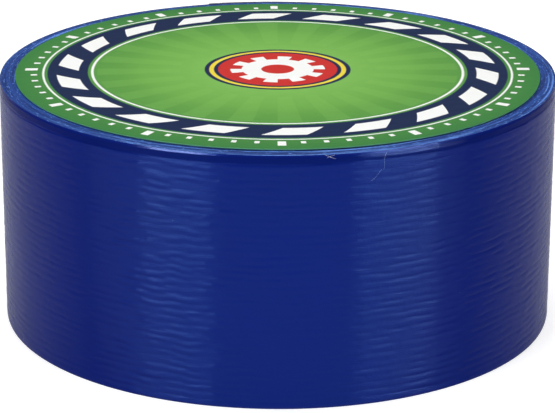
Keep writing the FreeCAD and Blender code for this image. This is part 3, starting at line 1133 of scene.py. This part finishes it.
class OBJECT_OT_tape_label(bpy.types.Operator):
    """Builds the label: printed sheet, card and glue"""

    bl_idname = "object.tape_label"
    bl_label = "Label"

    def execute(self, context):
        colours = context.scene.label_colours

        def sag(distance, turn):
            """A shallow ring where the card has settled over the core, and a slight wave at the rim."""
            settled = 0.018 * MM * math.exp(-(((distance - CORE_FACE) / (1.6 * MM)) ** 2))
            wave = 0.012 * MM * (distance / CARD_HIGH.x) ** 2 * (1 + noise(101, turn * 2.2))
            return settled + wave

        print_edge, card_edge, card_gap, cut_depth = 0.03 * MM, 0.06 * MM, 0.03 * MM, 0.12
        print_disc = disc("label_print_sheet", PRINT_HIGH.x, PRINT_LOW.z, PRINT_HIGH.z, print_edge, sag)
        finish_piece(print_disc, print_material(), "label_print", ("label_print",))
        card_disc = disc("label_card_disc", CARD_HIGH.x, CARD_LOW.z + card_gap, CARD_HIGH.z, card_edge, sag)
        cut = (CARD_HIGH.x / MM - cut_depth, colours.cut)
        card = paper_material("Label card", colours.card, 1.8, 0.45, 0.66, 0.04, cut)
        finish_piece(card_disc, card, "label_card", ("label_card",))
        glue = self.glue()
        for made in (print_disc, card_disc, glue):
            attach(made, "label")
        return {"FINISHED"}

    def glue(self):
        """Four squashed spots of glue with uneven outlines."""
        spots, count = [], 4
        ring = (CORE_FACE + CARD_HIGH.x) / 2
        reach = (CARD_HIGH.x - CORE_FACE) * 0.3
        for number in range(count):
            turn = np.linspace(0, 2 * math.pi, 40, endpoint=False)
            outline = reach * (0.84 + 0.14 * noise(110 + number, np.sin(turn) * 1.6, np.cos(turn) * 1.6))
            centre = math.radians(360 / count * number)
            middle = np.array([ring * math.cos(centre), ring * math.sin(centre)])
            share = np.array([0.0, 0.45, 0.8, 0.95, 1.0, 0.92, 0.6, 0.0])
            level = np.array([0.0, 0.02, 0.05, 0.20, 0.55, 0.9, 1.0, 1.0])
            loops = np.zeros((len(turn), len(share), 3))
            way = np.column_stack([np.cos(turn), np.sin(turn)])
            for step, (part, height) in enumerate(zip(share, level)):
                loops[:, step, :2] = middle + way * (outline * part)[:, None]
                loops[:, step, 2] = GLUE_LOW.z + height * (GLUE_HIGH.z - GLUE_LOW.z)
            spots.append(swept("glue", loops, closed=True))
        made = joined("label_glue_dabs", spots)
        return finish_piece(made, glue_material(), "label_glue", ("label_glue_spots",))


# --- Studio ---
class SCENE_OT_tape_studio(bpy.types.Operator):
    """Builds the pale floor, the lamps and the camera"""

    bl_idname = "scene.tape_studio"
    bl_label = "Studio"

    def execute(self, context):
        self.floor(context)
        self.world(context)
        self.lamps(context)
        self.camera(context)
        context.scene.view_settings.view_transform = "Standard"
        return {"FINISHED"}

    def floor(self, context):
        """A wide pale floor."""
        reach, gap = 3.0, 0.02 * MM
        level = CAD_BOX[0].z - gap
        corners = ((-reach, -reach), (reach, -reach), (reach, reach), (-reach, reach))
        points = [(x, y, level) for x, y in corners]
        mesh = bpy.data.meshes.new("studio_floor")
        mesh.from_pydata(points, [], [(0, 1, 2, 3)])
        made = bpy.data.objects.new("studio_floor", mesh)
        context.scene.collection.objects.link(made)
        mesh.materials.append(self.floor_material(context))
        made.visible_shadow = False

    def floor_material(self, context):
        """Pale and matt, a little brighter to the camera, and clear from below."""
        made = bpy.data.materials.new("Pale floor")
        made.use_nodes = True
        tree = made.node_tree
        tree.nodes.clear()
        graph = Graph(tree)
        settings = context.scene.studio_settings
        cloud = graph.noise(graph.add("ShaderNodeTexCoord").outputs["Object"], 3.0, 3)
        darker = [0.98 * part for part in settings.floor]
        shade = graph.mix(graph.ramp(cloud, 0.3, 0.7), settings.floor, darker)
        matt = graph.add("ShaderNodeBsdfDiffuse", {"Color": shade}).outputs[0]
        path = graph.add("ShaderNodeLightPath").outputs
        seen = graph.math("MAXIMUM", path["Is Camera Ray"], path["Is Glossy Ray"])
        seen = graph.math("MAXIMUM", seen, path["Is Transmission Ray"])
        strength = graph.times(seen, settings.floor_glow)
        glow = graph.add("ShaderNodeEmission", {"Strength": strength}).outputs[0]
        both = graph.add("ShaderNodeAddShader", {0: matt, 1: glow}).outputs[0]
        clear = graph.add("ShaderNodeBsdfTransparent").outputs[0]
        below = graph.add("ShaderNodeNewGeometry").outputs["Backfacing"]
        surface = graph.add("ShaderNodeMixShader", {0: below, 1: both, 2: clear}).outputs[0]
        graph.add("ShaderNodeOutputMaterial", {"Surface": surface})
        return made

    def world(self, context):
        """Soft fill light from all round."""
        world = bpy.data.worlds.new("Studio")
        context.scene.world = world
        world.use_nodes = True
        tree = world.node_tree
        tree.nodes.clear()
        graph = Graph(tree)
        fill = context.scene.studio_settings.fill
        light = graph.add("ShaderNodeBackground", {"Color": (1, 1, 1), "Strength": fill}).outputs[0]
        graph.add("ShaderNodeOutputWorld", {"Surface": light})

    def lamps(self, context):
        """A low and a high lamp at each front corner, and boxes above, behind and below."""
        settings = context.scene.studio_settings
        centre = Vector((0, 0, TAPE_HEAD.z / 2))
        away = 0.7
        # Name, degrees from straight ahead, width, height, height of the middle, and power.
        strips = (
            ("left_low", -39.0, 0.345, 0.036, 0.036, settings.left_power),
            ("right_low", 46.8, 0.405, 0.026, 0.032, settings.right_power),
            ("left_high", -39.0, 0.345, 0.09, 0.45, settings.left_high_power),
            ("right_high", 51.0, 0.46, 0.12, 0.45, settings.right_high_power),
        )
        for name, azimuth, width, height, middle, power in strips:
            turn = math.radians(azimuth)
            spot = Vector((math.sin(turn) * away, -math.cos(turn) * away, middle))
            self.lamp(name, spot, centre, width, height, power)
        self.lamp("top_box", Vector((0.0, 0.1, 1.0)), centre, 1.0, 0.8, settings.top_power)
        fills = (
            self.lamp("back_box", Vector((0.0, 0.75, 0.65)), centre, 0.9, 0.4, settings.back_power),
            self.lamp("under_box", Vector((0.0, 0.0, -0.8)), centre, 1.2, 1.2, settings.under_power),
        )
        for fill in fills:
            fill.visible_glossy = False

    def lamp(self, name, spot, aim, width, height, power):
        """A rectangular lamp that faces aim and that the camera doesn't see."""
        data = bpy.data.lights.new(name, "AREA")
        data.shape = "RECTANGLE"
        data.size, data.size_y = width, height
        data.energy = power
        made = bpy.data.objects.new(name, data)
        bpy.context.scene.collection.objects.link(made)
        made.location = spot
        made.rotation_mode = "QUATERNION"
        made.rotation_quaternion = (aim - spot).to_track_quat("-Z", "Y")
        made.visible_camera = False
        return made

    def camera(self, context):
        """The camera, a little above the roll."""
        settings = context.scene.studio_settings
        rise, tilt = math.radians(settings.elevation), math.radians(settings.tilt)
        lean = math.radians(settings.roll)
        middle = Vector((0, 0, (TAPE_FOOT.z + TAPE_HEAD.z) / 2))
        spot = middle + Vector((0, -math.cos(rise), math.sin(rise))) * settings.distance
        forward = Vector((0, math.cos(tilt), -math.sin(tilt)))
        right = Vector((1, 0, 0))
        up = right.cross(forward)
        across = right * math.cos(lean) - up * math.sin(lean)
        above = right * math.sin(lean) + up * math.cos(lean)
        data = bpy.data.cameras.new("camera")
        data.lens = settings.lens
        data.sensor_width = 36
        data.shift_x = settings.shift
        data.clip_start = 0.01
        made = bpy.data.objects.new("camera", data)
        context.scene.collection.objects.link(made)
        turn = Matrix((across, above, -forward)).transposed()
        made.matrix_world = Matrix.Translation(spot) @ turn.to_4x4()
        context.scene.camera = made


# --- Panel and registration ---
STEPS = (
    OBJECT_OT_tape_film,
    OBJECT_OT_tape_turns,
    OBJECT_OT_tape_tail,
    OBJECT_OT_tape_fibres,
    OBJECT_OT_tape_core,
    OBJECT_OT_tape_label,
    SCENE_OT_tape_studio,
)
GROUPS = {
    "tape_sizes": TapeSizes,
    "tape_colours": TapeColours,
    "label_colours": LabelColours,
    "studio_settings": StudioSettings,
}


class VIEW3D_PT_tape_roll(bpy.types.Panel):
    """Lists the steps, sizes and colours of the tape roll"""

    bl_idname = "VIEW3D_PT_tape_roll"
    bl_label = "Tape Roll"
    bl_space_type = "VIEW_3D"
    bl_region_type = "UI"
    bl_category = "Tape Roll"

    def draw(self, context):
        for step in STEPS:
            self.layout.operator(step.bl_idname)
        for name, group in GROUPS.items():
            box = self.layout.box()
            box.label(text=group.__doc__)
            for prop in group.__annotations__:
                box.prop(getattr(context.scene, name), prop)


def register():
    for group in GROUPS.values():
        bpy.utils.register_class(group)
    for name, group in GROUPS.items():
        setattr(bpy.types.Scene, name, PointerProperty(type=group))
    for step in (*STEPS, VIEW3D_PT_tape_roll):
        bpy.utils.register_class(step)


def unregister():
    for step in (VIEW3D_PT_tape_roll, *reversed(STEPS)):
        bpy.utils.unregister_class(step)
    for name in GROUPS:
        delattr(bpy.types.Scene, name)
    for group in reversed(GROUPS.values()):
        bpy.utils.unregister_class(group)


def main():
    """Builds every piece."""
    register()
    bpy.ops.object.tape_film()
    bpy.ops.object.tape_turns()
    bpy.ops.object.tape_tail()
    bpy.ops.object.tape_fibres()
    bpy.ops.object.tape_core()
    bpy.ops.object.tape_label()
    bpy.ops.scene.tape_studio()


if __name__ == "__main__":
    main()
